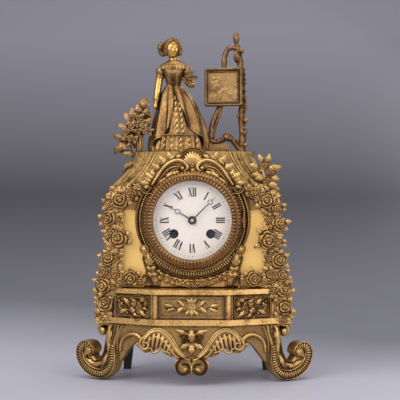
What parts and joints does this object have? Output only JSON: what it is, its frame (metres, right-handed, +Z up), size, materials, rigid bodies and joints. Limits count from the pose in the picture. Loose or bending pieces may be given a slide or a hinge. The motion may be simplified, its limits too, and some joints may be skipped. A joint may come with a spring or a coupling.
{
  "type": "figural mantel clock",
  "caption": "Gilt bronze mantel clock: a painter at an easel on a draped mound over a round enamel dial, with scroll feet and rose garlands.",
  "frame": {"origin": "on the surface the clock stands on, under the middle of its box", "axes": "+Z up, -Y towards the viewer, +X to the viewer's right"},
  "size_m": [0.2554, 0.124, 0.376],
  "materials": {
    "gilt_bronze": "fire-gilt cast bronze, bright on the high points, brown in the hollows",
    "gilt_panel": "smooth satin gilt sheet",
    "bezel_bronze": "dark patinated bronze, patterned",
    "enamel": "white enamel, glossy",
    "glass": "clear polished",
    "steel": "polished steel",
    "dark_steel": "black-blued steel",
    "movement_brass": "lacquered brass",
    "bell_metal": "nickelled bell metal",
    "dark_iron": "dark bronzed casting"
  },
  "bodies": {
    "case": {"apron": "gilt_bronze", "back_plate": "movement_brass", "bell": "bell_metal", "bell_stand": "steel", "bezel_seat": "bezel_bronze", "case_shell": "gilt_bronze", "clamp_straps": "movement_brass", "dial": "enamel", "dial_swag": "gilt_bronze", "drum": "movement_brass", "easel": "gilt_bronze", "easel_picture": "gilt_bronze", "facade": "gilt_bronze", "figure_bodice": "gilt_bronze", "figure_head": "gilt_bronze", "figure_left_arm": "gilt_bronze", "figure_right_arm": "gilt_bronze", "figure_skirt": "gilt_bronze", "front_plate": "movement_brass", "hinge_pins": "steel", "left_front_foot": "gilt_bronze", "left_rose_garland": "gilt_bronze", "paint_box": "gilt_bronze", "plate_pillars": "movement_brass", "plinth": "gilt_bronze", "plinth_plaques": "gilt_bronze", "ratchet_clicks": "steel", "rear_bezel": "movement_brass", "rear_feet": "dark_iron", "right_front_foot": "gilt_bronze", "right_rose_garland": "gilt_bronze", "rocaille_crest": "gilt_bronze", "shrub": "gilt_bronze", "side_panels": "gilt_panel", "suspension_cock": "movement_brass", "terrace": "gilt_bronze"},
    "glass_door": {"glass_bezel": "bezel_bronze", "dial_glass": "glass"},
    "back_door": {"rear_door": "movement_brass"},
    "minute_hand_set": {"minute_hand": "dark_steel", "cannon_pinion": "steel"},
    "hour_hand_set": {"hour_hand": "dark_steel", "hour_wheel": "movement_brass"},
    "minute_wheel_set": {"minute_wheel": "movement_brass"},
    "going_barrel_set": {"going_barrel": "movement_brass"},
    "strike_barrel_set": {"strike_barrel": "movement_brass"},
    "going_arbor": {"going_winding_arbor": "steel"},
    "strike_arbor": {"strike_winding_arbor": "steel"},
    "second_set": {"going_second_wheel": "movement_brass"},
    "centre_set": {"centre_wheel": "movement_brass"},
    "third_set": {"third_wheel": "movement_brass"},
    "escape_set": {"escape_wheel": "movement_brass"},
    "anchor": {"pallets_and_crutch": "steel"},
    "pendulum": {"pendulum_rod": "steel", "pendulum_bob": "movement_brass"},
    "strike_second_set": {"strike_second_wheel": "movement_brass"},
    "pin_set": {"pin_wheel": "movement_brass"},
    "locking_set": {"locking_wheel": "movement_brass"},
    "fly_set": {"fly": "steel"},
    "hammer": {"strike_hammer": "steel"}
  },
  "joints": [
    {"name": "glass_door_hinge", "type": "hinge", "parent": "case", "child": "glass_door", "pos_m": [0.0536, -0.04715, 0.1708], "axis": [0, 0, 1], "range_deg": [0, 120]},
    {"name": "back_door_hinge", "type": "hinge", "parent": "case", "child": "back_door", "pos_m": [-0.0522, 0.05815, 0.1708], "axis": [0, 0, 1], "range_deg": [0, 110]},
    {"name": "minute_hand_turn", "type": "hinge", "parent": "case", "child": "minute_hand_set", "pos_m": [0, -0.02, 0.1708], "axis": [0, 1, 0], "continuous": true},
    {"name": "minute_wheel_turn", "type": "hinge", "parent": "case", "child": "minute_wheel_set", "pos_m": [0, -0.02, 0.1798], "axis": [0, 1, 0], "continuous": true},
    {"name": "hour_hand_turn", "type": "hinge", "parent": "case", "child": "hour_hand_set", "pos_m": [0, -0.02, 0.1708], "axis": [0, 1, 0], "continuous": true},
    {"name": "going_winding", "type": "hinge", "parent": "case", "child": "going_arbor", "pos_m": [0.0193, -0.02, 0.1565], "axis": [0, 1, 0], "continuous": true},
    {"name": "strike_winding", "type": "hinge", "parent": "case", "child": "strike_arbor", "pos_m": [-0.0193, -0.02, 0.1565], "axis": [0, 1, 0], "continuous": true},
    {"name": "third_turn", "type": "hinge", "parent": "case", "child": "third_set", "pos_m": [-0.00378, -0.02, 0.18153], "axis": [0, 1, 0], "continuous": true},
    {"name": "escape_turn", "type": "hinge", "parent": "case", "child": "escape_set", "pos_m": [0, -0.02, 0.1908], "axis": [0, 1, 0], "continuous": true},
    {"name": "centre_turn", "type": "hinge", "parent": "case", "child": "centre_set", "pos_m": [0, -0.02, 0.1708], "axis": [0, 1, 0], "continuous": true},
    {"name": "going_second_turn", "type": "hinge", "parent": "case", "child": "second_set", "pos_m": [0.01186, -0.02, 0.17387], "axis": [0, 1, 0], "continuous": true},
    {"name": "going_barrel_turn", "type": "hinge", "parent": "case", "child": "going_barrel_set", "pos_m": [0.0193, -0.02, 0.1565], "axis": [0, 1, 0], "continuous": true},
    {"name": "locking_turn", "type": "hinge", "parent": "case", "child": "locking_set", "pos_m": [-0.01447, -0.02, 0.1955], "axis": [0, 1, 0], "continuous": true},
    {"name": "fly_turn", "type": "hinge", "parent": "case", "child": "fly_set", "pos_m": [-0.02124, -0.02, 0.1994], "axis": [0, 1, 0], "continuous": true},
    {"name": "pin_turn", "type": "hinge", "parent": "case", "child": "pin_set", "pos_m": [-0.01941, -0.02, 0.18695], "axis": [0, 1, 0], "continuous": true},
    {"name": "strike_second_turn", "type": "hinge", "parent": "case", "child": "strike_second_set", "pos_m": [-0.02258, -0.02, 0.17511], "axis": [0, 1, 0], "continuous": true},
    {"name": "strike_barrel_turn", "type": "hinge", "parent": "case", "child": "strike_barrel_set", "pos_m": [-0.0193, -0.02, 0.1565], "axis": [0, 1, 0], "continuous": true},
    {"name": "pendulum_swing", "type": "hinge", "parent": "case", "child": "pendulum", "pos_m": [0, 0.01, 0.2018], "axis": [0, 1, 0], "range_deg": [-4.5, 4.5]},
    {"name": "anchor_rock", "type": "hinge", "parent": "case", "child": "anchor", "pos_m": [0, 0, 0.2018], "axis": [0, 1, 0], "range_deg": [-4.5, 4.5]},
    {"name": "hammer_lift", "type": "hinge", "parent": "case", "child": "hammer", "pos_m": [-0.036, -0.02, 0.1768], "axis": [0, 1, 0], "range_deg": [0, 8], "stiffness_Nm_per_rad": 0.01}
  ],
  "couplings": [
    {"joint": "minute_wheel_turn", "follows": "minute_hand_turn", "ratio": -0.33333},
    {"joint": "hour_hand_turn", "follows": "minute_hand_turn", "ratio": 0.083333},
    {"joint": "escape_turn", "follows": "third_turn", "ratio": -12},
    {"joint": "centre_turn", "follows": "third_turn", "ratio": -0.083333},
    {"joint": "going_second_turn", "follows": "third_turn", "ratio": 0.013889},
    {"joint": "going_barrel_turn", "follows": "third_turn", "ratio": -0.0017361},
    {"joint": "fly_turn", "follows": "locking_turn", "ratio": -9.1429},
    {"joint": "pin_turn", "follows": "locking_turn", "ratio": -0.097222},
    {"joint": "strike_second_turn", "follows": "locking_turn", "ratio": 0.016204},
    {"joint": "strike_barrel_turn", "follows": "locking_turn", "ratio": -0.0020255},
    {"joint": "anchor_rock", "follows": "pendulum_swing", "ratio": 1}
  ]
}
